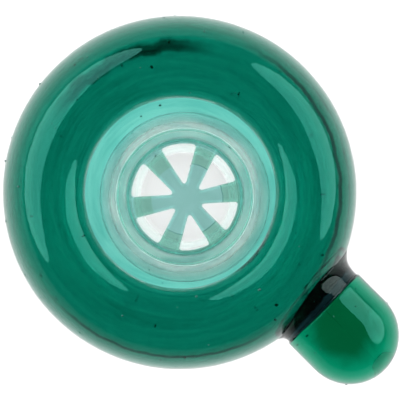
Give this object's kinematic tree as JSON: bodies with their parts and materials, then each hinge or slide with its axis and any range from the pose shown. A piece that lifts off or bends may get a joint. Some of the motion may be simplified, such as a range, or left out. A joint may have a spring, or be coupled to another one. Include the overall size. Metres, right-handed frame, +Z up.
{
  "type": "slide bowl",
  "caption": "Blown green glass slide bowl with a built-in star screen, a thumb handle and a clear tapered ground joint.",
  "frame": {"origin": "on the joint's axis, at the large end of its ground cone", "axes": "+Z up the joint's axis and out of the bowl's mouth; the handle points to +X -Y"},
  "size_m": [0.0394, 0.0366, 0.0437],
  "materials": {
    "green_glass": "gloss",
    "deep_green_glass": "gloss",
    "pale_glass": "gloss",
    "clear_glass": "gloss"
  },
  "bodies": {
    "root": {"bowl_body": "green_glass", "star_screen": "pale_glass", "ground_joint": "clear_glass", "joint_weld": "clear_glass", "handle": "deep_green_glass", "handle_pad": "clear_glass"}
  },
  "joints": []
}
